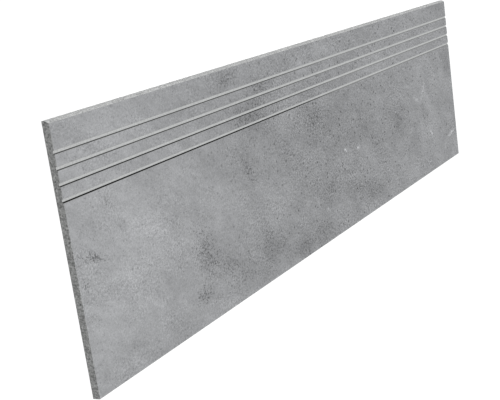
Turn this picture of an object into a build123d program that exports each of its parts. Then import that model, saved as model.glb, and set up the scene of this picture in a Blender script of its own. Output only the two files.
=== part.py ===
from build123d import *
import os

# A porcelain step tile, lying face up. Millimetres. X runs along the tile, Y from the
# nosing to the rear edge and Z up, with the origin under the middle of the tile.

# Overall size
LENGTH = 1200.0
WIDTH = 300.0
THICKNESS = 9.0

# Ground nosing on the front edge: an upright lip, then a flat arc up to the face
NOSE_LIP = 3.6
NOSE_SETBACK = 2.6
NOSE_BULGE = 0.25

# Anti-slip grooves along the nosing, open at both ends
GROOVE_COUNT = 4
GROOVE_SETBACK = 30.0
GROOVE_LAND = 12.2
GROOVE_WIDTH = 4.7
GROOVE_DEPTH = 1.4
GROOVE_FLARE = 0.8
GROOVE_ROOT_RADIUS = 0.5

# Bevel that the edge grinder leaves on the face side of the rear edge and the two ends
ARRIS_BEVEL = 0.4

# Keyed back: shallow pressed pockets between ribs, inside a plain border
KEY_PITCH = 28.0
KEY_RIB = 6.0
KEY_DEPTH = 0.6
KEY_DRAFT_ANGLE = 35.0
KEY_BORDER = 10.0


def groove_points(start):
    """The four corners of one groove, as (y, z), from its edge nearer the nosing."""
    floor = THICKNESS - GROOVE_DEPTH
    end = start + GROOVE_WIDTH
    return [
        (start, THICKNESS),
        (start + GROOVE_FLARE, floor),
        (end - GROOVE_FLARE, floor),
        (end, THICKNESS),
    ]


def face_points():
    """The walking face as (y, z), from the nosing over the grooves to the rear edge."""
    front = -WIDTH / 2
    rear = WIDTH / 2
    points = [(front + NOSE_SETBACK, THICKNESS)]
    for i in range(GROOVE_COUNT):
        start = front + GROOVE_SETBACK + i * (GROOVE_WIDTH + GROOVE_LAND)
        points += groove_points(start)
    points.append((rear - ARRIS_BEVEL, THICKNESS))
    points.append((rear, THICKNESS - ARRIS_BEVEL))
    return points


def cross_section():
    """The tile cut across its length, which is the same from one end to the other."""
    front = -WIDTH / 2
    rear = WIDTH / 2
    with BuildSketch(Plane.YZ) as section:
        with BuildLine():
            nose = SagittaArc(
                (front + NOSE_SETBACK, THICKNESS), (front, NOSE_LIP), NOSE_BULGE
            )
            Polyline(nose @ 1, (front, 0), (rear, 0), face_points()[-1])
            Polyline(*face_points())
        make_face()
        floor = THICKNESS - GROOVE_DEPTH
        roots = [v for v in section.vertices() if abs(v.Z - floor) < 1e-6]
        if roots:
            fillet(roots, GROOVE_ROOT_RADIUS)
    return section.sketch


def end_bevels():
    """A square bar on edge along each end, which takes the arris off."""
    side = ARRIS_BEVEL * 2**0.5
    bar = Rot(0, 45, 0) * Box(side, 2 * WIDTH, side)
    return [Pos(x, 0, THICKNESS) * bar for x in (-LENGTH / 2, LENGTH / 2)]


def key_pockets():
    """The pockets of the keyed back, drafted as pressed, with a rib under each midline."""
    across_x = 2 * int((LENGTH / 2 - KEY_BORDER) // KEY_PITCH)
    across_y = 2 * int((WIDTH / 2 - KEY_BORDER) // KEY_PITCH)
    side = KEY_PITCH - KEY_RIB
    pocket = extrude(Rectangle(side, side), amount=KEY_DEPTH, taper=KEY_DRAFT_ANGLE)
    return [spot * pocket for spot in GridLocations(KEY_PITCH, KEY_PITCH, across_x, across_y)]


def step_tile():
    """The whole tile, one fired piece."""
    slab = extrude(cross_section(), amount=LENGTH / 2, both=True)
    slab = slab - end_bevels()
    return slab - key_pockets()


os.makedirs("parts", exist_ok=True)
tile = step_tile()
export_step(tile, "parts/step_tile.step")
print("step_tile", tile.bounding_box().size, "volume", round(tile.volume))
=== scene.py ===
"""A porcelain step tile with a printed face, ground nosing and grooves, sawn edges and a keyed back."""

import logging
import math
from collections.abc import Callable
from dataclasses import dataclass, field
from enum import Enum

import bmesh
import bpy
from mathutils import Matrix, Quaternion, Vector


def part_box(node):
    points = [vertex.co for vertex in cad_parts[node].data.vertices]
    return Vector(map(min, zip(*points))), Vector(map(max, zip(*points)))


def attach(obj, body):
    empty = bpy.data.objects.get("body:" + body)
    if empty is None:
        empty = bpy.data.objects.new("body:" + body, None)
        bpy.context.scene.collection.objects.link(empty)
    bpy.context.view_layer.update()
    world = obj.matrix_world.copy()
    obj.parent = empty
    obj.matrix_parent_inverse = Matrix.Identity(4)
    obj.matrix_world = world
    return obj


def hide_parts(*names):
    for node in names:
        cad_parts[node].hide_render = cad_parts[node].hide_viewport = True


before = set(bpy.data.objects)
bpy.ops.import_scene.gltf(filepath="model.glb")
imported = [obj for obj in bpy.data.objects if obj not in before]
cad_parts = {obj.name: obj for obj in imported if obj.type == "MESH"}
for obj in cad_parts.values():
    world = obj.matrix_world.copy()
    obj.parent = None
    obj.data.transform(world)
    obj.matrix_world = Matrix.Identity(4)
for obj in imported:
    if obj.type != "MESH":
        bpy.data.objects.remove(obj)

# A millimetre in metres, and the millimetres within which two places count as one.
MM = 0.001
NEAR = 0.01

# How far a face's normal points along an axis: nearly all the way, half of it, or a little.
FACING = 0.9
SIDEWAYS = 0.5
LEANING = 0.3

# The display's gamma, and the metres within which a point counts as lying on a cut.
DISPLAY_GAMMA = 2.2
CUT_THRESHOLD = 1e-7

# A speck's edge is soft: it starts and is full at these shares of its radius.
SPECK_RIM = 1.2
SPECK_CORE = 0.6

log = logging.getLogger("step_tile")

Socket = bpy.types.NodeSocket
Point = tuple[float, float, float]


class Zone(Enum):
    """The finishes of the tile's surface, each with its material slot's number."""

    PRINTED_FACE = 0
    GROUND_GROOVE = 1
    GROUND_NOSING = 2
    SAWN_EDGE = 3
    PRESSED_BACK = 4


class Wire:
    """A value in a shader graph that takes part in Python expressions."""

    def __init__(self, graph: "Graph", socket: Socket) -> None:
        """Keeps a node's output.

        Args:
            graph: The graph that the node belongs to.
            socket: The output that carries the value.
        """
        self.graph = graph
        self.socket = socket

    def __add__(self, other: "Wire | float") -> "Wire":
        """The sum."""
        return self.graph.maths("ADD", self, other)

    def __sub__(self, other: "Wire | float") -> "Wire":
        """The difference."""
        return self.graph.maths("SUBTRACT", self, other)

    def __rsub__(self, other: float) -> "Wire":
        """The difference, from a number."""
        return self.graph.maths("SUBTRACT", other, self)

    def __mul__(self, other: "Wire | float") -> "Wire":
        """The product."""
        return self.graph.maths("MULTIPLY", self, other)

    def __truediv__(self, other: "Wire | float") -> "Wire":
        """The quotient."""
        return self.graph.maths("DIVIDE", self, other)

    def __pow__(self, other: float) -> "Wire":
        """The power."""
        return self.graph.maths("POWER", self, other)

    def __mod__(self, other: float) -> "Wire":
        """What is left over, never under nought."""
        return self.graph.maths("FLOORED_MODULO", self, other)

    def __lt__(self, other: "Wire | float") -> "Wire":
        """One where the value is under the other, and nought elsewhere."""
        return self.graph.maths("LESS_THAN", self, other)

    __radd__ = __add__
    __rmul__ = __mul__


@dataclass(frozen=True)
class Blob:
    """A soft patch on the face, placed in millimetres from the end and the nosing."""

    along: float
    across: float
    length: float
    width: float
    tilt: float = 0.0
    tone: float = 1.0


class Graph:
    """The shader graph of one material, read on the piece's own Object coordinates."""

    def __init__(self, name: str) -> None:
        """Makes an empty material.

        Args:
            name: The material's name.
        """
        self.material = bpy.data.materials.new(name)
        self.material.use_nodes = True
        self.tree = self.material.node_tree
        self.tree.nodes.clear()
        self.place = self.node("ShaderNodeTexCoord").outputs["Object"]

    def node(
        self,
        kind: str,
        settings: dict[str, object] | None = None,
        sockets: dict[str | int, object] | None = None,
    ) -> bpy.types.Node:
        """Adds one node.

        Args:
            kind: The node's type.
            settings: Its own settings, which are set before its sockets.
            sockets: The values or links of its inputs, by name or number.

        Returns:
            The node.
        """
        made = self.tree.nodes.new(kind)
        for name, value in (settings or {}).items():
            setattr(made, name, value)
        for name, value in (sockets or {}).items():
            if isinstance(value, Wire):
                value = value.socket
            if isinstance(value, Socket):
                self.tree.links.new(value, made.inputs[name])
            else:
                made.inputs[name].default_value = value
        return made

    def maths(self, operation: str, first: Wire | float, second: Wire | float) -> Wire:
        """One Math node.

        Args:
            operation: What the node does.
            first: Its first value.
            second: Its second value.

        Returns:
            The result.
        """
        made = self.node("ShaderNodeMath", {"operation": operation}, {0: first, 1: second})
        return Wire(self, made.outputs[0])

    def vector(self, operation: str, first: Socket, second: Socket | Point) -> Socket:
        """One Vector Math node.

        Args:
            operation: What the node does.
            first: Its first vector.
            second: Its second vector.

        Returns:
            The result.
        """
        made = self.node("ShaderNodeVectorMath", {"operation": operation}, {0: first, 1: second})
        return made.outputs[0]

    def fade(self, value: Wire, start: Wire | float, end: Wire | float) -> Wire:
        """A soft step from nought to one.

        Args:
            value: What is read.
            start: The value at which the step begins.
            end: The value at which it ends, under or over the start.

        Returns:
            The step.
        """
        made = self.node(
            "ShaderNodeMapRange",
            {"interpolation_type": "SMOOTHSTEP"},
            {"Value": value, "From Min": start, "From Max": end},
        )
        return Wire(self, made.outputs["Result"])

    def axis(self, letter: str) -> Wire:
        """One Object coordinate in millimetres, by its letter."""
        made = self.node("ShaderNodeSeparateXYZ", None, {0: self.place})
        return Wire(self, made.outputs[letter]) * (1.0 / MM)

    def noise(
        self, size: float, detail: float = 2.0, roughness: float = 0.5, place: Socket | None = None
    ) -> Wire:
        """Fractal noise about nought.

        Args:
            size: The size of its largest blotches, in millimetres.
            detail: How many finer layers it has.
            roughness: How strong each finer layer is.
            place: Where it is read, if not at the plain Object coordinates.

        Returns:
            The noise, from about -1 to 1.
        """
        made = self.node(
            "ShaderNodeTexNoise",
            {"noise_dimensions": "3D"},
            {
                "Vector": place or self.place,
                "Scale": 1.0 / (size * MM),
                "Detail": detail,
                "Roughness": roughness,
            },
        )
        return (Wire(self, made.outputs[0]) - 0.5) * 2.0

    def shifted(self, place: Socket, size: float, reach: float) -> Socket:
        """A place moved about on the level by soft noise.

        Args:
            place: The place.
            size: The size of the noise, in millimetres.
            reach: About the furthest that a point moves, in millimetres.

        Returns:
            The moved place.
        """
        wander = self.node(
            "ShaderNodeTexNoise",
            {"noise_dimensions": "3D"},
            {"Vector": place, "Scale": 1.0 / (size * MM), "Detail": 2.0},
        )
        # The noise strays from its middle by about a third.
        span = 3.0 * reach * MM
        centred = self.vector("SUBTRACT", wander.outputs["Color"], (0.5, 0.5, 0.5))
        return self.vector("ADD", place, self.vector("MULTIPLY", centred, (span, span, 0.0)))

    def specks(self, spacing: float, radius: float, share: Wire | float) -> Wire:
        """Round specks scattered over the surface.

        Args:
            spacing: The size of the cell that may hold a speck, in millimetres.
            radius: A speck's radius, in millimetres.
            share: The share of the cells that hold one.

        Returns:
            One on a speck and nought off it.
        """
        made = self.node(
            "ShaderNodeTexVoronoi",
            {"voronoi_dimensions": "3D", "feature": "F1"},
            {"Vector": self.place, "Scale": 1.0 / (spacing * MM)},
        )
        away = Wire(self, made.outputs["Distance"]) * spacing
        chance = self.node("ShaderNodeSeparateColor", None, {0: made.outputs["Color"]})
        round_speck = self.fade(away, radius * SPECK_RIM, radius * SPECK_CORE)
        return round_speck * (Wire(self, chance.outputs[0]) < share)

    def blob(self, place: Socket, corner: Vector, blob: Blob) -> Wire:
        """A soft round patch.

        Args:
            place: Where it is read.
            corner: The corner of the tile that its place counts from, in millimetres.
            blob: The patch.

        Returns:
            One at its middle, and nought outside it.
        """
        local = self.node(
            "ShaderNodeMapping",
            {"vector_type": "TEXTURE"},
            {
                "Vector": place,
                "Location": ((corner.x - blob.along) * MM, (corner.y + blob.across) * MM, 0.0),
                "Rotation": (0.0, 0.0, -math.radians(blob.tilt)),
                "Scale": (blob.length / 2 * MM, blob.width / 2 * MM, 1.0),
            },
        )
        ball = self.node("ShaderNodeTexGradient", {"gradient_type": "SPHERICAL"}, {0: local.outputs[0]})
        return self.fade(Wire(self, ball.outputs["Fac"]), 0.0, 1.0)

    def blobs(self, place: Socket, corner: Vector, blobs: tuple[Blob, ...]) -> Wire:
        """Soft round patches, each as strong as its tone.

        Args:
            place: Where they are read.
            corner: The corner of the tile that their places count from, in millimetres.
            blobs: The patches.

        Returns:
            Their sum.
        """
        total = self.blob(place, corner, blobs[0]) * blobs[0].tone
        for blob in blobs[1:]:
            total = total + self.blob(place, corner, blob) * blob.tone
        return total

    def grey(self, level: Wire, tint: Point) -> Socket:
        """A nearly grey colour.

        Args:
            level: Its lightness as a display level, from 0 to 255, under the studio's light.
            tint: How much of red, green and blue it holds.

        Returns:
            The colour.
        """
        made = self.node(
            "ShaderNodeMix",
            {"data_type": "RGBA"},
            {0: (level / 255.0) ** DISPLAY_GAMMA, 6: (0.0, 0.0, 0.0, 1.0), 7: (*tint, 1.0)},
        )
        return made.outputs[2]

    def finish(
        self, colour: Socket, roughness: Wire, relief: Wire, depth: float, sheen: float = 0.35
    ) -> bpy.types.Material:
        """Closes the graph with one shader.

        Args:
            colour: The base colour.
            roughness: The roughness.
            relief: The height of the surface, from about -1 to 1.
            depth: What a height of one stands for, in millimetres.
            sheen: How strongly it mirrors, where 0.5 is plain glass.

        Returns:
            The material.
        """
        bump = self.node("ShaderNodeBump", None, {"Distance": depth * MM, "Height": relief})
        shader = self.node(
            "ShaderNodeBsdfPrincipled",
            None,
            {
                "Base Color": colour,
                "Roughness": roughness,
                "Normal": bump.outputs[0],
                "Specular IOR Level": sheen,
            },
        )
        self.node("ShaderNodeOutputMaterial", None, {"Surface": shader.outputs[0]})
        return self.material


@dataclass(frozen=True)
class PrintedFace:
    """The matt cement look printed on the walking face: clouds, stains, stipple, pores and flecks.

    Tones are display levels out of 255, and places count in millimetres from the corner, which is the
    nosing's end on the left of the photograph. The print grows coarser between two distances from it.
    """

    corner: Vector
    level: float = 153.0
    tint: Point = (0.98, 0.995, 1.02)
    roughness: float = 0.62
    roughness_swing: float = 0.06
    relief_depth: float = 0.03
    pore_dip: float = 0.8
    stipple_dip: float = 0.3
    streak_tilt: float = 25.0
    streak_length: float = 1.8
    streak_width: float = 0.8
    patch_start: float = -0.2
    patch_end: float = 0.3
    coarse_start: float = 150.0
    coarse_end: float = 700.0
    stain_strength: float = 0.8
    stain_stipple: float = 0.025
    patch_stipple: float = 0.2
    cloud_tone: float = 26.0
    mottle_tone: float = 22.0
    mottle_patch_tone: float = 46.0
    mottle_coarse_tone: float = 44.0
    grain_tone: float = 20.0
    stipple_tone: float = 26.0
    stipple_dense_tone: float = 22.0
    stipple_edge: float = 0.3
    stipple_reach: float = 0.4
    stipple_softness: float = 0.12
    pore_share: float = 0.25
    pore_coarse_share: float = 0.2
    pore_tone: float = 14.0
    pore_coarse_tone: float = 32.0
    fleck_start: float = -0.3
    fleck_end: float = 0.25
    fleck_strength: float = 1.6
    light: tuple[Blob, ...] = (
        Blob(60, 150, 560, 600, 0, 10),
        Blob(55, 122, 150, 110, 0, 3),
        Blob(156, 125, 130, 95, -10, 4),
        Blob(35, 240, 130, 130, 0, 5),
        Blob(106, 246, 110, 80, 0, 4),
        Blob(110, 180, 330, 170, 0, 3),
        Blob(650, 15, 200, 44, 0, 8),
        Blob(60, 50, 260, 120, 0, 5),
        Blob(245, 112, 130, 70, 15, 6),
        Blob(330, 172, 220, 75, 30, 8),
        Blob(440, 190, 160, 70, 20, 4),
        Blob(569, 31, 130, 60, 0, 6),
        Blob(700, 190, 200, 60, 25, 4),
        Blob(820, 60, 250, 90, 5, 8),
        Blob(944, 50, 150, 70, 0, 4),
        Blob(890, 115, 140, 60, 50, 4),
        Blob(1025, 135, 130, 110, 30, 6),
        Blob(1085, 225, 180, 85, 10, 5),
        Blob(1006, 252, 70, 60, 0, 3),
    )
    dark: tuple[Blob, ...] = (
        Blob(640, 150, 900, 700, 0, 8),
        Blob(350, 15, 100, 50, 0, 12),
        Blob(425, 38, 130, 75, 0, 9),
        Blob(330, 274, 130, 50, 0, 8),
        Blob(378, 71, 190, 50, 8, 10),
        Blob(420, 78, 170, 100, 20, 7),
        Blob(363, 128, 110, 60, 30, 4),
        Blob(500, 130, 260, 150, 0, 3),
        Blob(581, 112, 150, 95, 30, 9),
        Blob(660, 138, 160, 75, 20, 4),
        Blob(769, 168, 125, 75, 30, 7),
        Blob(850, 150, 130, 60, 10, 5),
        Blob(906, 182, 110, 70, 20, 12),
        Blob(950, 215, 140, 80, 30, 5),
        Blob(935, 10, 200, 36, 0, 5),
        Blob(1172, 113, 80, 85, 0, 13),
        Blob(1150, 10, 160, 40, 0, 9),
        Blob(231, 263, 75, 40, 0, 5),
        Blob(256, 230, 110, 60, 30, 7),
        Blob(310, 245, 140, 60, 20, 8),
        Blob(406, 258, 180, 80, 10, 13),
        Blob(425, 250, 120, 70, 0, 3),
        Blob(505, 284, 130, 50, 5, 14),
        Blob(580, 280, 110, 60, 0, 14),
        Blob(610, 219, 95, 60, 0, 7),
        Blob(720, 255, 160, 65, 15, 8),
        Blob(780, 268, 200, 60, 5, 6),
    )
    clusters: tuple[Blob, ...] = (
        Blob(30, 153, 70, 22, 15, 1.1),
        Blob(9, 178, 26, 28, 0, 0.9),
        Blob(70, 106, 50, 34, 0, 0.3),
        Blob(193, 185, 24, 16, 0, 0.5),
        Blob(243, 203, 110, 80, 60, 0.7),
        Blob(232, 262, 80, 50, 10, 0.7),
        Blob(290, 245, 160, 60, 20, 0.4),
        Blob(375, 66, 150, 60, 10, 0.25),
        Blob(342, 15, 100, 28, 20, 0.35),
        Blob(432, 38, 60, 30, 20, 0.4),
        Blob(530, 17, 60, 20, 20, 0.4),
        Blob(377, 138, 60, 34, 60, 0.5),
    )
    flecks: tuple[Blob, ...] = (
        Blob(680, 180, 20, 10, 20, 40),
        Blob(729, 185, 22, 11, 0, 48),
        Blob(640, 216, 12, 9, 0, 20),
        Blob(468, 178, 11, 9, 0, 17),
        Blob(598, 253, 24, 9, 10, 20),
        Blob(1003, 158, 46, 12, 28, 22),
        Blob(1036, 148, 60, 12, -50, 20),
        Blob(1165, 252, 70, 12, -12, 30),
        Blob(1130, 269, 13, 13, 0, 20),
        Blob(1063, 232, 40, 10, 35, 28),
    )
    pits: tuple[Blob, ...] = (
        Blob(930, 26, 9, 5, 0, 90),
        Blob(911, 78, 9, 5, 0, 80),
        Blob(847, 106, 8, 4, 0, 70),
        Blob(1105, 137, 9, 4, 0, 70),
        Blob(811, 127, 7, 4, 0, 60),
        Blob(876, 129, 7, 4, 0, 50),
        Blob(1034, 121, 9, 4, 0, 60),
        Blob(849, 146, 8, 4, 0, 60),
        Blob(837, 168, 9, 4, 0, 60),
        Blob(887, 184, 10, 5, 0, 60),
        Blob(965, 143, 7, 4, 0, 50),
        Blob(929, 162, 9, 4, 0, 50),
        Blob(1034, 197, 8, 4, 0, 50),
        Blob(756, 54, 6, 4, 0, 60),
        Blob(756, 73, 6, 4, 0, 50),
        Blob(797, 120, 6, 4, 0, 80),
        Blob(733, 154, 6, 4, 0, 60),
        Blob(421, 41, 7, 4, 0, 60),
        Blob(420, 68, 7, 4, 0, 60),
        Blob(827, 291, 7, 4, 0, 70),
    )

    def material(self) -> bpy.types.Material:
        """The print's material."""
        g = Graph("printed_cement_look")
        ragged = g.shifted(g.place, size=11.0, reach=3.0)
        frayed = g.shifted(ragged, size=45.0, reach=9.0)
        scattered = g.shifted(g.place, size=6.0, reach=4.0)
        drift = g.node(
            "ShaderNodeMapping",
            {"vector_type": "TEXTURE"},
            {
                "Vector": frayed,
                "Rotation": (0.0, 0.0, -math.radians(self.streak_tilt)),
                "Scale": (self.streak_length, self.streak_width, 1.0),
            },
        ).outputs[0]
        cloud = g.noise(size=45.0, detail=3.0, roughness=0.9, place=drift)
        swells = g.noise(size=60.0, detail=3.0, roughness=0.7, place=drift)
        patches = g.fade(swells, self.patch_start, self.patch_end)
        mottle = g.noise(size=3.0, roughness=1.0)
        grain = g.noise(size=1.4, detail=1.0, roughness=0.8)
        coarse = g.fade(self.corner.x - g.axis("X"), self.coarse_start, self.coarse_end)
        stained = g.blobs(frayed, self.corner, self.dark)
        dense = (
            g.blobs(ragged, self.corner, self.clusters)
            + stained * self.stain_stipple
            + patches * coarse * self.patch_stipple
        )
        edge = self.stipple_edge - dense * self.stipple_reach
        dots = g.noise(size=2.0, detail=1.0, roughness=0.7)
        stipple = g.fade(dots, edge, edge + self.stipple_softness)
        pore_share = self.pore_share + coarse * self.pore_coarse_share
        pores = g.specks(spacing=9.0, radius=1.9, share=pore_share)
        crumbs = g.noise(size=6.0, detail=1.0, roughness=0.8)
        broken = g.fade(crumbs, self.fleck_start, self.fleck_end)
        flecks = g.blobs(scattered, self.corner, self.flecks) * broken
        contrast = self.mottle_tone + patches * self.mottle_patch_tone + coarse * self.mottle_coarse_tone
        level = (
            self.level
            + g.blobs(frayed, self.corner, self.light)
            - stained * self.stain_strength
            + cloud * self.cloud_tone
            + mottle * contrast
            + grain * self.grain_tone
            - stipple * (self.stipple_tone + dense * self.stipple_dense_tone)
            - pores * (self.pore_tone + coarse * self.pore_coarse_tone)
            + flecks * self.fleck_strength
            - g.blobs(g.place, self.corner, self.pits)
        )
        rough = self.roughness + cloud * self.roughness_swing - stipple * self.roughness_swing
        relief = mottle - pores * self.pore_dip - stipple * self.stipple_dip
        return g.finish(g.grey(level, self.tint), rough, relief, self.relief_depth)


@dataclass(frozen=True)
class GroundGroove:
    """The light body on a groove's floor, with the wheel's marks along it, and its shaded far wall.

    Sizes are in millimetres and tones are display levels. The shaded band begins a little before the
    wall and pales between two distances from the near end. It widens and deepens towards the last
    groove, between two numbers of pitches.
    """

    end: float
    front: float
    pitch: float
    width: float
    flare: float
    level: float = 186.0
    salt_tone: float = 26.0
    marks_tone: float = 8.0
    shade: float = 112.0
    last_shade: float = 85.0
    far_shade: float = 45.0
    far_start: float = 420.0
    far_end: float = 720.0
    band: float = 0.5
    last_band: float = 0.35
    rim_start: float = 0.4
    rim_end: float = 0.75
    softness: float = 0.35
    roughness: float = 0.66
    roughness_swing: float = 0.05
    relief_depth: float = 0.02
    salt_height: float = 0.4
    wheel_stretch: float = 0.03
    deeper_start: float = 1.5
    deeper_end: float = 3.2
    tint: Point = (0.985, 1.0, 0.995)

    def material(self) -> bpy.types.Material:
        """The groove's material."""
        g = Graph("ground_groove")
        salt = g.noise(size=2.0, detail=1.0, roughness=0.8)
        lines = g.node(
            "ShaderNodeMapping",
            {"vector_type": "POINT"},
            {"Vector": g.place, "Scale": (self.wheel_stretch, 1.0, 1.0)},
        )
        marks = g.noise(size=0.9, roughness=0.7, place=lines.outputs[0])
        across = g.axis("Y") - self.front
        lane = (across + self.flare) % self.pitch - self.flare
        wall = self.width - self.flare
        last = g.fade(across, self.deeper_start * self.pitch, self.deeper_end * self.pitch)
        begin = wall - self.band - last * self.last_band
        shaded = g.fade(lane, begin, begin + self.softness)
        shaded = shaded * g.fade(lane, wall + self.rim_end, wall + self.rim_start)
        near = g.fade(self.end - g.axis("X"), self.far_end, self.far_start)
        shade = self.far_shade + near * (self.shade - self.far_shade + last * self.last_shade)
        level = self.level + salt * self.salt_tone + marks * self.marks_tone - shaded * shade
        rough = self.roughness + salt * self.roughness_swing
        relief = salt * self.salt_height + marks
        return g.finish(g.grey(level, self.tint), rough, relief, self.relief_depth)


@dataclass(frozen=True)
class GroundBody:
    """The porcelain body where it is ground or sawn: light and dark grains, fired together.

    The grain is in millimetres, and the spacing and the radius of the pepper count in grains.
    """

    name: str
    level: float
    contrast: float
    tint: Point = (0.985, 1.0, 0.99)
    grain: float = 2.2
    cloud_share: float = 0.3
    pepper_share: float = 0.5
    pepper_spacing: float = 1.6
    pepper_radius: float = 0.5
    roughness: float = 0.68
    roughness_swing: float = 0.06
    relief_depth: float = 0.03

    def material(self) -> bpy.types.Material:
        """The body's material."""
        g = Graph(self.name)
        salt = g.noise(size=self.grain, detail=1.0, roughness=0.6)
        pepper = g.specks(
            spacing=self.grain * self.pepper_spacing, radius=self.grain * self.pepper_radius, share=0.4
        )
        cloud = g.noise(size=24.0, detail=3.0, roughness=0.8)
        level = (
            self.level
            + salt * self.contrast
            + cloud * (self.contrast * self.cloud_share)
            - pepper * (self.contrast * self.pepper_share)
        )
        rough = self.roughness + salt * self.roughness_swing
        return g.finish(g.grey(level, self.tint), rough, salt - pepper, self.relief_depth)


@dataclass(frozen=True)
class PressedBack:
    """The fired back as it left the press, dulled by release powder on its ribs.

    Tones are display levels, and a rib's foot and top are shares of the pockets' depth.
    """

    pocket_depth: float
    level: float = 150.0
    cloud_tone: float = 10.0
    press_tone: float = 8.0
    powder_tone: float = 22.0
    speck_tone: float = 25.0
    roughness: float = 0.8
    roughness_swing: float = 0.05
    relief_depth: float = 0.04
    pocket_dust: float = 0.25
    dust_height: float = 0.3
    dust_start: float = -0.25
    dust_end: float = 0.3
    rib_foot: float = 0.8
    rib_top: float = 0.2
    tint: Point = (1.0, 0.995, 0.975)

    def material(self) -> bpy.types.Material:
        """The back's material."""
        g = Graph("pressed_back")
        cloud = g.noise(size=80.0, detail=4.0, roughness=0.6)
        press = g.noise(size=2.2, detail=3.0, roughness=0.7)
        powder = g.noise(size=14.0, detail=4.0, roughness=0.7)
        patchy = g.fade(powder, self.dust_start, self.dust_end)
        rib = g.fade(g.axis("Z"), self.rib_foot * self.pocket_depth, self.rib_top * self.pocket_depth)
        dust = patchy * (self.pocket_dust + rib * (1.0 - self.pocket_dust))
        specks = g.specks(spacing=4.0, radius=0.5, share=0.3)
        level = (
            self.level
            + cloud * self.cloud_tone
            + press * self.press_tone
            + dust * self.powder_tone
            - specks * self.speck_tone
        )
        rough = self.roughness + press * self.roughness_swing
        relief = press + dust * self.dust_height
        return g.finish(g.grey(level, self.tint), rough, relief, self.relief_depth)


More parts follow.
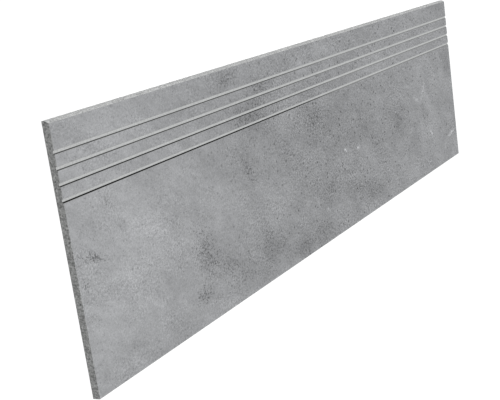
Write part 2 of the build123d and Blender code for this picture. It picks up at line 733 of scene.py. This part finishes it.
@dataclass
class StepTile:
    """The tile as one pressed, ground and sawn slab. Sizes are in millimetres."""

    node: str = "step_tile"
    nose_lip: float = 3.6
    nose_setback: float = 2.6
    nose_bulge: float = 0.25
    nose_facets: int = 12
    groove_count: int = 4
    groove_setback: float = 30.0
    groove_land: float = 12.2
    groove_width: float = 4.7
    groove_depth: float = 1.4
    groove_flare: float = 0.8
    groove_root_radius: float = 0.5
    groove_rim: float = 0.12
    arris_bevel: float = 0.4
    worn_edge: float = 0.25
    key_pitch: float = 28.0
    key_rib: float = 6.0
    key_depth: float = 0.6
    key_draft_angle: float = 35.0
    key_border: float = 10.0
    key_corner: float = 2.0
    key_root: float = 0.3
    key_rim: float = 0.12
    smooth_angle: float = 30.0
    low: Vector = field(init=False)
    high: Vector = field(init=False)

    def __post_init__(self) -> None:
        """Reads the slab's corners from the frame."""
        low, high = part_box(self.node)
        self.low = Vector(low) / MM
        self.high = Vector(high) / MM

    def build(self) -> bpy.types.Object:
        """Makes the tile and sets it in the frame.

        Returns:
            The finished piece.
        """
        slab = self.slab()
        cut(slab, self.groove_bars())
        cut(slab, self.key_pads())
        self.halve(slab)
        self.dress(slab)
        BakeMap(self).unroll(slab)
        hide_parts(self.node)
        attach(slab, "root")
        return slab

    def slab(self) -> bpy.types.Object:
        """The fired slab with its nosing ground and its arrises bevelled.

        Returns:
            The slab.
        """
        slab = block("step_tile_dressed", self.low, self.high)
        bpy.ops.object.mode_set(mode="EDIT")
        for point, normal in self.nose_planes() + self.bevel_planes():
            bpy.ops.mesh.select_all(action="SELECT")
            bpy.ops.mesh.bisect(
                plane_co=point * MM,
                plane_no=normal,
                use_fill=True,
                clear_outer=True,
                threshold=CUT_THRESHOLD,
            )
        near = NEAR * MM
        pick(
            slab,
            "EDGE",
            lambda e: all(v.co.z < near for v in e.verts)
            or all(abs(abs(v.co.x) - self.high.x * MM) < near for v in e.verts)
            and all(abs(abs(v.co.y) - self.high.y * MM) < near for v in e.verts),
        )
        bpy.ops.mesh.bevel(offset=self.worn_edge * MM, segments=2, affect="EDGES")
        bpy.ops.object.mode_set(mode="OBJECT")
        return slab

    def nose_planes(self) -> list[tuple[Vector, Vector]]:
        """The cuts that round the nosing, each as a point and an outward normal."""
        top = Vector((0.0, self.low.y + self.nose_setback, self.high.z))
        lip = Vector((0.0, self.low.y, self.low.z + self.nose_lip))
        chord = lip - top
        outward = Vector((0.0, chord.z, -chord.y)).normalized()
        half = chord.length / 2
        radius = (half**2 + self.nose_bulge**2) / (2 * self.nose_bulge)
        centre = (top + lip) / 2 - outward * (radius - self.nose_bulge)
        sweep = 2 * math.asin(half / radius)
        planes = []
        for i in range(self.nose_facets):
            turn = sweep * ((i + 0.5) / self.nose_facets - 0.5)
            normal = Matrix.Rotation(turn, 3, "X") @ outward
            reach = radius * math.cos(sweep / 2 / self.nose_facets)
            planes.append((centre + normal * reach, normal))
        return planes

    def bevel_planes(self) -> list[tuple[Vector, Vector]]:
        """The cuts that take the arris off the rear edge and the two ends."""
        top = self.high.z - self.arris_bevel
        return [
            (Vector((0.0, self.high.y, top)), Vector((0.0, 1.0, 1.0)).normalized()),
            (Vector((self.high.x, 0.0, top)), Vector((1.0, 0.0, 1.0)).normalized()),
            (Vector((self.low.x, 0.0, top)), Vector((-1.0, 0.0, 1.0)).normalized()),
        ]

    def groove_bars(self) -> bpy.types.Object:
        """The bars that the grooves are cut with, side by side.

        Returns:
            The bars as one piece.
        """
        over = 1.0
        floor = self.high.z - self.groove_depth
        rim = self.high.z - self.groove_rim
        middle = self.low.y + self.groove_setback + self.groove_width / 2
        half_floor = self.groove_width / 2 - self.groove_flare
        half_rim = self.groove_width / 2 - self.groove_flare * self.groove_rim / self.groove_depth
        half_top = half_rim + self.groove_rim + over
        bar = block(
            "groove_bars",
            (self.low.x - over, middle - half_floor, floor),
            (self.high.x + over, middle + half_floor, rim),
        )
        bpy.ops.object.mode_set(mode="EDIT")
        pick(bar, "FACE", lambda f: f.normal.z > FACING)
        spread((1.0, half_rim / half_floor, 1.0), (0.0, middle, 0.0))
        bpy.ops.mesh.extrude_region_move(
            TRANSFORM_OT_translate={"value": (0.0, 0.0, (self.groove_rim + over) * MM)}
        )
        spread((1.0, half_top / half_rim, 1.0), (0.0, middle, 0.0))
        pick(
            bar,
            "EDGE",
            lambda e: all(v.co.z < (floor + NEAR) * MM for v in e.verts)
            and abs(e.verts[0].co.x - e.verts[1].co.x) > MM,
        )
        corner = math.pi - math.atan2(self.groove_depth, self.groove_flare)
        root = self.groove_root_radius / math.tan(corner / 2)
        bpy.ops.mesh.bevel(offset=root * MM, segments=4, affect="EDGES")
        bpy.ops.object.mode_set(mode="OBJECT")
        repeat(bar, self.groove_count, (0.0, self.groove_width + self.groove_land, 0.0))
        return bar

    def key_pads(self) -> bpy.types.Object:
        """The pads that press the pockets of the keyed back.

        Returns:
            The pads as one piece.
        """
        under = 1.0
        along = 2 * int((self.high.x - self.key_border) // self.key_pitch)
        across = 2 * int((self.high.y - self.key_border) // self.key_pitch)
        side = self.key_pitch - self.key_rib
        draft = math.tan(math.radians(self.key_draft_angle))
        x = (self.key_rib - along * self.key_pitch) / 2
        y = (self.key_rib - across * self.key_pitch) / 2
        z = self.low.z
        pad = block("key_pads", (x, y, z + self.key_rim), (x + side, y + side, z + self.key_depth))
        middle = (x + side / 2, y + side / 2, 0.0)
        bpy.ops.object.mode_set(mode="EDIT")
        pick(pad, "EDGE", lambda e: abs(e.verts[0].co.z - e.verts[1].co.z) > NEAR * MM)
        bpy.ops.mesh.bevel(offset=self.key_corner * MM, segments=2, affect="EDGES")
        pick(pad, "FACE", lambda f: f.normal.z > FACING)
        floor = 1.0 - 2 * draft * self.key_depth / side
        spread((floor, floor, 1.0), middle)
        pick(pad, "FACE", lambda f: f.normal.z < -FACING)
        bpy.ops.mesh.extrude_region_move(
            TRANSFORM_OT_translate={"value": (0.0, 0.0, -(self.key_rim + under) * MM)}
        )
        skirt = 1.0 + 2 * (self.key_rim + under) / side
        spread((skirt, skirt, 1.0), middle)
        pick(pad, "EDGE", lambda e: all(v.co.z > (z + self.key_depth - NEAR) * MM for v in e.verts))
        bpy.ops.mesh.bevel(offset=self.key_root * MM, segments=1, affect="EDGES")
        bpy.ops.object.mode_set(mode="OBJECT")
        repeat(pad, along, (self.key_pitch, 0.0, 0.0))
        repeat(pad, across, (0.0, self.key_pitch, 0.0))
        return pad

    def halve(self, slab: bpy.types.Object) -> None:
        """Cuts the slab's faces along its middle, so that each half has its own place on the bake map.

        Args:
            slab: The slab.
        """
        activate(slab)
        bpy.ops.object.mode_set(mode="EDIT")
        bpy.ops.mesh.select_all(action="SELECT")
        bpy.ops.mesh.bisect(
            plane_co=(0.0, 0.0, 0.0), plane_no=(1.0, 0.0, 0.0), threshold=CUT_THRESHOLD
        )
        bpy.ops.object.mode_set(mode="OBJECT")

    def dress(self, slab: bpy.types.Object) -> None:
        """Gives each face of the slab its finish.

        Args:
            slab: The slab.
        """
        activate(slab)
        bpy.ops.object.shade_smooth_by_angle(angle=math.radians(self.smooth_angle))
        finishes = {
            Zone.PRINTED_FACE: PrintedFace(Vector((self.high.x, self.low.y, 0.0))),
            Zone.GROUND_GROOVE: GroundGroove(
                end=self.high.x,
                front=self.low.y + self.groove_setback,
                pitch=self.groove_width + self.groove_land,
                width=self.groove_width,
                flare=self.groove_flare,
            ),
            # The nosing and the sawn edges are the same body as the groove floors: the nosing's higher
            # level is painted light, and the sawn edges' lower level is painted shade.
            Zone.GROUND_NOSING: GroundBody(
                "ground_nosing_painted_light", level=203.0, contrast=70.0, tint=(0.985, 1.0, 0.995)
            ),
            Zone.SAWN_EDGE: GroundBody("sawn_edge_painted_shade", level=146.0, contrast=75.0),
            Zone.PRESSED_BACK: PressedBack(self.key_depth),
        }
        slab.data.materials.clear()
        for zone in Zone:
            slab.data.materials.append(finishes[zone].material())
        for face in slab.data.polygons:
            face.material_index = self.zone_of(face.center / MM, face.normal).value

    def zone_of(self, centre: Vector, normal: Vector) -> Zone:
        """The finish of a face.

        Args:
            centre: The face's centre.
            normal: Its outward normal.

        Returns:
            Its zone.
        """
        from_nose = centre.y - self.low.y
        if centre.z > self.high.z - NEAR and normal.z > FACING:
            return Zone.PRINTED_FACE
        if normal.z < -LEANING and centre.z < self.low.z + self.key_depth + NEAR:
            return Zone.PRESSED_BACK
        if abs(normal.x) > SIDEWAYS:
            return Zone.SAWN_EDGE
        if from_nose < self.nose_setback:
            return Zone.GROUND_NOSING
        if self.high.y - centre.y > 2 * self.arris_bevel:
            return Zone.GROUND_GROOVE
        return Zone.SAWN_EDGE


@dataclass(frozen=True)
class BakeMap:
    """The tile's surface laid flat on one square map, for a bake of its finishes.

    Sizes are in pixels, and scales in pixels a millimetre. The two halves of the face lie one over the
    other, the back lies above them, and the grooves and edges stand beside them as narrow strips.
    """

    tile: StepTile
    size: int = 1024
    gap: float = 3.0
    face_scale: float = 1.35
    back_scale: float = 0.67
    strip_scale: float = 0.84
    strip_left: float = 847.0
    strip_pitch: float = 25.0
    strip_width_scale: float = 1.75
    nose_strip: int = 4
    rear_strip: int = 5
    end_strip: int = 6

    def unroll(self, slab: bpy.types.Object) -> None:
        """Lays out every face of the slab.

        Args:
            slab: The slab.
        """
        layer = slab.data.uv_layers.new(name="OFBake")
        for face in slab.data.polygons:
            for loop in face.loop_indices:
                point = slab.data.vertices[slab.data.loops[loop].vertex_index].co / MM
                across, up = self.place(point, Zone(face.material_index), face.center / MM, face.normal)
                layer.uv[loop].vector = (across / self.size, up / self.size)

    def place(self, point: Vector, zone: Zone, centre: Vector, normal: Vector) -> tuple[float, float]:
        """Where a corner of a face lies on the map.

        Args:
            point: The corner.
            zone: The face's finish.
            centre: The face's centre.
            normal: The face's outward normal.

        Returns:
            Its place.
        """
        tile = self.tile
        half = centre.x < 0.0
        along = point.x - tile.low.x * half
        deep = point.y - tile.low.y
        depth = tile.high.y - tile.low.y
        if zone is Zone.PRINTED_FACE:
            row = self.gap + half * (depth * self.face_scale + self.gap)
            return self.gap + along * self.face_scale, row + deep * self.face_scale
        if zone is Zone.PRESSED_BACK:
            top = 3 * self.gap + 2 * depth * self.face_scale
            return self.gap + (tile.high.x - point.x) * self.back_scale, top + deep * self.back_scale
        middle = (tile.low.z + tile.high.z) / 2
        if zone is Zone.SAWN_EDGE and abs(normal.x) > SIDEWAYS:
            way = self.folded(point, middle, tile.high.x - abs(point.x))
            return self.strip(self.end_strip, way, deep, half)
        if zone is Zone.SAWN_EDGE:
            way = self.folded(point, middle, tile.high.y - point.y)
            return self.strip(self.rear_strip, way, along, half)
        if zone is Zone.GROUND_NOSING:
            way = self.folded(point, tile.nose_lip / 2, deep)
            return self.strip(self.nose_strip, way, along, half)
        pitch = tile.groove_width + tile.groove_land
        groove = round((centre.y - tile.low.y - tile.groove_setback - tile.groove_width / 2) / pitch)
        lane = deep - tile.groove_setback - groove * pitch
        dip = tile.high.z - point.z
        far = centre.y - tile.low.y - tile.groove_setback - groove * pitch > tile.groove_width / 2
        return self.strip(groove, lane + (2 * tile.groove_depth - dip if far else dip), along, half)

    def folded(self, point: Vector, middle: float, back: float) -> float:
        """The way up an upright edge and over the parts of it that lean back, in millimetres.

        Args:
            point: A point of the edge.
            middle: A height between the lower and the upper leaning part.
            back: How far the point lies behind the edge's outermost plane.

        Returns:
            The way.
        """
        return point.z + math.copysign(back, point.z - middle)

    def strip(self, column: int, across: float, along: float, half: bool) -> tuple[float, float]:
        """A place on one of the narrow strips.

        Args:
            column: The strip's number.
            across: The way over the strip, in millimetres.
            along: The way along it, in millimetres.
            half: Whether it lies in the tile's second half.

        Returns:
            The place.
        """
        start = self.gap + half * (self.tile.high.x * self.strip_scale + 2 * self.gap)
        left = self.strip_left + column * self.strip_pitch + self.gap / 2
        return left + across * self.strip_width_scale, start + along * self.strip_scale


def activate(piece: bpy.types.Object) -> None:
    """Makes a piece the only one that is selected, and the active one.

    Args:
        piece: The piece.
    """
    bpy.ops.object.select_all(action="DESELECT")
    piece.select_set(True)
    bpy.context.view_layer.objects.active = piece


def block(name: str, low: Point | Vector, high: Point | Vector) -> bpy.types.Object:
    """A plain block between two corners, in millimetres, with its place in its mesh.

    Args:
        name: Its name.
        low: Its lowest corner.
        high: Its highest corner.

    Returns:
        The block.
    """
    bpy.ops.object.select_all(action="DESELECT")
    middle = [(a + b) / 2 * MM for a, b in zip(low, high)]
    size = [(b - a) * MM for a, b in zip(low, high)]
    bpy.ops.mesh.primitive_cube_add(size=1.0, location=middle, scale=size)
    bpy.ops.object.transform_apply(location=True, rotation=True, scale=True)
    made = bpy.context.active_object
    made.name = name
    return made


def pick(piece: bpy.types.Object, kind: str, wanted: Callable[..., bool]) -> None:
    """Selects faces or edges of the piece in edit mode.

    Args:
        piece: The piece that is edited.
        kind: FACE or EDGE.
        wanted: Says whether one of them is selected.
    """
    bpy.ops.mesh.select_mode(type=kind)
    bpy.ops.mesh.select_all(action="DESELECT")
    mesh = bmesh.from_edit_mesh(piece.data)
    for part in mesh.faces if kind == "FACE" else mesh.edges:
        part.select_set(wanted(part))
    mesh.select_flush_mode()
    bmesh.update_edit_mesh(piece.data)


def spread(scale: Point, middle: Point) -> None:
    """Scales what is selected about a point.

    Args:
        scale: The factor of each axis.
        middle: The point, in millimetres.
    """
    bpy.ops.transform.resize(value=scale, center_override=[c * MM for c in middle])


def cut(slab: bpy.types.Object, tool: bpy.types.Object) -> None:
    """Cuts a tool's shape out of the slab, and puts the tool away.

    Args:
        slab: What is cut.
        tool: What it is cut with.
    """
    activate(slab)
    bpy.ops.object.modifier_add(type="BOOLEAN")
    cutter = slab.modifiers[-1]
    cutter.operation = "DIFFERENCE"
    cutter.solver = "EXACT"
    cutter.object = tool
    bpy.ops.object.modifier_apply(modifier=cutter.name)
    bpy.data.objects.remove(tool)


def repeat(piece: bpy.types.Object, count: int, step: Point) -> None:
    """Repeats a piece in a row.

    Args:
        piece: The piece.
        count: How many there are in the end.
        step: From one to the next, in millimetres.
    """
    activate(piece)
    bpy.ops.object.modifier_add(type="ARRAY")
    row = piece.modifiers[-1]
    row.count = count
    row.use_relative_offset = False
    row.use_constant_offset = True
    row.constant_offset_displace = [s * MM for s in step]
    bpy.ops.object.modifier_apply(modifier=row.name)


@dataclass
class Studio:
    """The pale floor, the soft light and the camera. Places are in millimetres."""

    eye: Point = (1439.562, -276.064, 721.877)
    aim: Point = (240.349, 59.917, 9.0)
    roll: float = 89.6417
    lens: float = 78.531
    sensor: float = 36.0
    rise: float = 0.050495
    floor_size: float = 60.0
    floor_shade: float = 0.9
    floor_roughness: float = 0.9
    floor_sheen: float = 0.1
    floor_glow: float = 0.18
    sky: float = 0.2
    key_power: float = 2.51
    key_angle: float = 8.0
    key_side: Point = (0.0, 0.05, 1.0)

    def build(self) -> None:
        """Sets the studio up."""
        self.floor()
        self.light()
        self.camera()

    def floor(self) -> None:
        """Lays the floor."""
        bpy.ops.object.select_all(action="DESELECT")
        bpy.ops.mesh.primitive_plane_add(size=self.floor_size)
        floor = bpy.context.active_object
        floor.name = "floor"
        material = bpy.data.materials.new("pale_floor")
        material.use_nodes = True
        shader = material.node_tree.nodes["Principled BSDF"].inputs
        shader["Base Color"].default_value = (*[self.floor_shade] * 3, 1.0)
        shader["Roughness"].default_value = self.floor_roughness
        shader["Specular IOR Level"].default_value = self.floor_sheen
        shader["Emission Color"].default_value = (1.0, 1.0, 1.0, 1.0)
        shader["Emission Strength"].default_value = self.floor_glow
        floor.data.materials.append(material)

    def light(self) -> None:
        """Hangs the soft light overhead, in a pale room."""
        scene = bpy.context.scene
        room = bpy.data.worlds.new("pale_room")
        room.use_nodes = True
        background = room.node_tree.nodes["Background"].inputs
        background["Color"].default_value = (1.0, 1.0, 1.0, 1.0)
        background["Strength"].default_value = self.sky
        scene.world = room
        lamp = bpy.data.lights.new("soft_overhead", "SUN")
        lamp.energy = self.key_power
        lamp.angle = math.radians(self.key_angle)
        hung = bpy.data.objects.new("soft_overhead", lamp)
        hung.rotation_mode = "QUATERNION"
        hung.rotation_quaternion = Vector(self.key_side).to_track_quat("Z", "Y")
        scene.collection.objects.link(hung)
        scene.view_settings.view_transform = "Standard"

    def camera(self) -> None:
        """Sets the camera up at the photograph's viewing angle."""
        data = bpy.data.cameras.new("camera")
        data.lens = self.lens
        data.sensor_width = self.sensor
        data.shift_y = self.rise
        camera = bpy.data.objects.new("camera", data)
        level = (Vector(self.aim) - Vector(self.eye)).to_track_quat("-Z", "Y")
        camera.rotation_mode = "QUATERNION"
        camera.rotation_quaternion = level @ Quaternion((0.0, 0.0, 1.0), math.radians(self.roll))
        camera.location = Vector(self.eye) * MM
        bpy.context.scene.collection.objects.link(camera)
        bpy.context.scene.camera = camera


def main() -> None:
    """Builds the tile and its studio, and reports the tile."""
    logging.basicConfig(level=logging.INFO, format="%(name)s %(message)s")
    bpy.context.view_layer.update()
    tile = StepTile().build()
    Studio().build()
    log.info("%s: %d faces, %d finishes", tile.name, len(tile.data.polygons), len(tile.data.materials))


if __name__ == "__main__":
    main()
